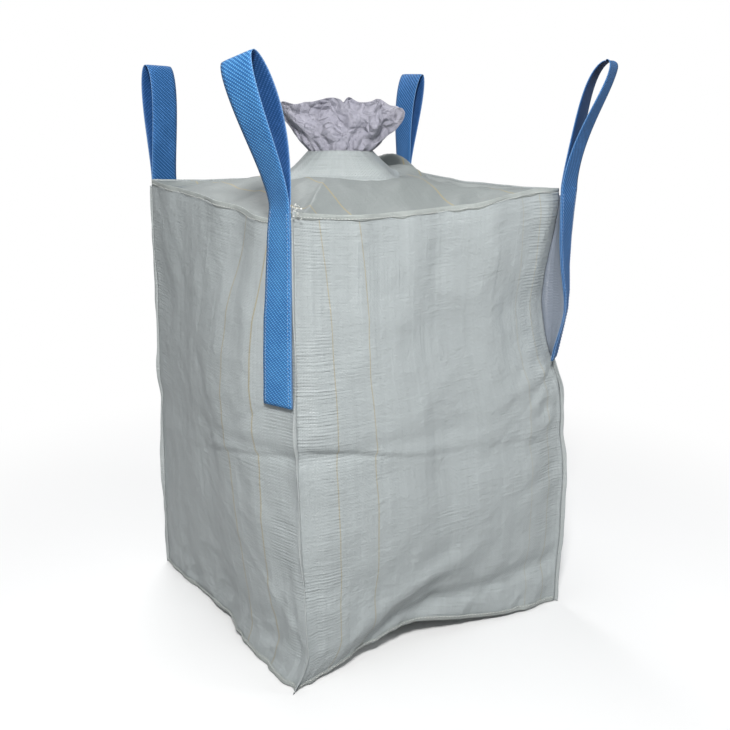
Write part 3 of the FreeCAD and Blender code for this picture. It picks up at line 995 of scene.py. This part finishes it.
low_rows = dashes("base_hem_stitches", *hem_stitches(0.0115, 0.0042), 0.0050)
finish_piece(low_rows, thread, "base_hem_thread")

# the top hem's row, with a loose knot of thread at the nearest corner
spots, dirs, norms = hem_stitches(HEIGHT - 0.0085, 0.0040)
rng = np.random.default_rng(8)
knot = corner(0, np.array(HEIGHT - 0.004)) + np.array([0.004, -0.004, 0.0])
for _ in range(26):
    spots.append(knot + rng.normal(0, 1, 3) * np.array([0.005, 0.005, 0.006]))
    dirs.append(rng.normal(0, 1, 3) + np.array([0.6, -0.4, 0.4]))
    norms.append(np.cross(dirs[-1], rng.normal(0, 1, 3)))
finish_piece(dashes("top_hem_stitches", spots, dirs, norms, 0.0050), thread, None)


# the seam strips are the walls' cloth painted a little lighter: a painted highlight on the standing seams
seam_cloth_painted_highlight = woven("seam_cloth_painted_highlight", (180, 186, 186), crinkle=0.0008)
# the pocket is painted darker and bluer than the seam strips: painted shade
pocket_cloth_painted_shade = woven("pocket_cloth_painted_shade", (126, 134, 146), crinkle=0.0008, dark=0.86)
for i, name in enumerate(CORNERS):
    # behind the front right strap the strip goes on as a pocket of the seam's cloth, painted darker and
    # bluer: painted shade
    flaps = [seam_flap(i, "seam_" + name, high=STRIP_SPLIT if i == 1 else STRIP_TOP)]
    if i == 1:
        flaps.append(seam_flap(i, "seam_pocket_" + name, low=STRIP_SPLIT))
    for flap, cloth in zip(flaps, (seam_cloth_painted_highlight, pocket_cloth_painted_shade)):
        finish_piece(flap, cloth, "corner_seam_" + name)

# ---------------------------------------------------------------- stage
FLOOR_HALF, FLOOR_Z = 9, -0.0005
floor_mesh = make("floor", [(x * FLOOR_HALF, y * FLOOR_HALF, FLOOR_Z)
                            for x, y in ((-1, -1), (1, -1), (1, 1), (-1, 1))],
                  [(0, 1, 2, 3)], smooth_shade=False)
paper = Nodes("floor_paper")
paper.bsdf.inputs["Roughness"].default_value = 0.9
# the floor fades into an even white, so that no horizon shows behind the bag
here = paper.new("ShaderNodeTexCoord").outputs["Object"]
reach = paper.new("ShaderNodeVectorMath")
reach.operation = "LENGTH"
paper.link(here, reach.inputs[0])
far = paper.new("ShaderNodeMapRange", interpolation_type="SMOOTHSTEP")
far.inputs["From Min"].default_value, far.inputs["From Max"].default_value = 0.45, 1.7
paper.link(reach.outputs["Value"], far.inputs["Value"])
glow = paper.new("ShaderNodeEmission")
rays = paper.new("ShaderNodeLightPath")
# pale as the camera sees it, darker for the light it throws back on the bag
paper.link(paper.mix(rays.outputs["Is Camera Ray"], (0.45, 0.45, 0.45, 1), (0.9, 0.9, 0.9, 1)),
           paper.bsdf.inputs["Base Color"])
blend = paper.new("ShaderNodeMixShader")
paper.link(paper.math("MULTIPLY", far.outputs[0], rays.outputs["Is Camera Ray"]), blend.inputs[0])
paper.link(paper.bsdf.outputs[0], blend.inputs[1])
paper.link(glow.outputs[0], blend.inputs[2])
paper.link(blend.outputs[0], paper.tree.nodes["Material Output"].inputs["Surface"])
floor_mesh.data.materials.append(paper.mat)


def area_light(name, place, aim, size, power, colour=(1, 1, 1)):
    data = bpy.data.lights.new(name, "AREA")
    data.shape, data.size, data.energy, data.color = "DISK", size, power, colour
    obj = bpy.data.objects.new(name, data)
    obj.location = place
    obj.rotation_mode = "QUATERNION"
    obj.rotation_quaternion = (Vector(aim) - Vector(place)).to_track_quat("-Z", "Y")
    bpy.context.scene.collection.objects.link(obj)
    return obj


area_light("key", (-1.60, -2.4, 2.9), (-0.1, 0, 0.85), 0.6, 140, (1, 0.99, 0.98))
area_light("side", (2.4, -2.4, 2.0), (0, 0, 0.6), 0.8, 16, (0.96, 0.98, 1))
area_light("top", (0.2, 1.6, 3.2), (0, 0, 0.9), 1.4, 40)
world = bpy.data.worlds.new("studio")
bpy.context.scene.world = world
world.use_nodes = True
sky = world.node_tree.nodes["Background"]
sky.inputs[0].default_value = (0.93, 0.97, 1, 1)
sky.inputs[1].default_value = 0.30
white = world.node_tree.nodes.new("ShaderNodeBackground")
white.inputs[0].default_value = (1, 1, 1, 1)
seen = world.node_tree.nodes.new("ShaderNodeLightPath")
pick = world.node_tree.nodes.new("ShaderNodeMixShader")
for start, end in ((seen.outputs["Is Camera Ray"], pick.inputs[0]), (sky.outputs[0], pick.inputs[1]),
                   (white.outputs[0], pick.inputs[2]),
                   (pick.outputs[0], world.node_tree.nodes["World Output"].inputs["Surface"])):
    world.node_tree.links.new(start, end)
bpy.context.scene.view_settings.view_transform = "Standard"

cam_data = bpy.data.cameras.new("camera")
cam_data.sensor_width, cam_data.lens = 36.0, 36.0 * 1.39
cam = bpy.data.objects.new("camera", cam_data)
cam.location = (-1.2261, -1.9593, 1.2232)
look = Vector((math.sin(VIEW_YAW) * math.cos(VIEW_PITCH), math.cos(VIEW_YAW) * math.cos(VIEW_PITCH),
               math.sin(VIEW_PITCH)))
cam.rotation_mode = "QUATERNION"
cam.rotation_quaternion = look.to_track_quat("-Z", "Y")
bpy.context.scene.collection.objects.link(cam)
bpy.context.scene.camera = cam
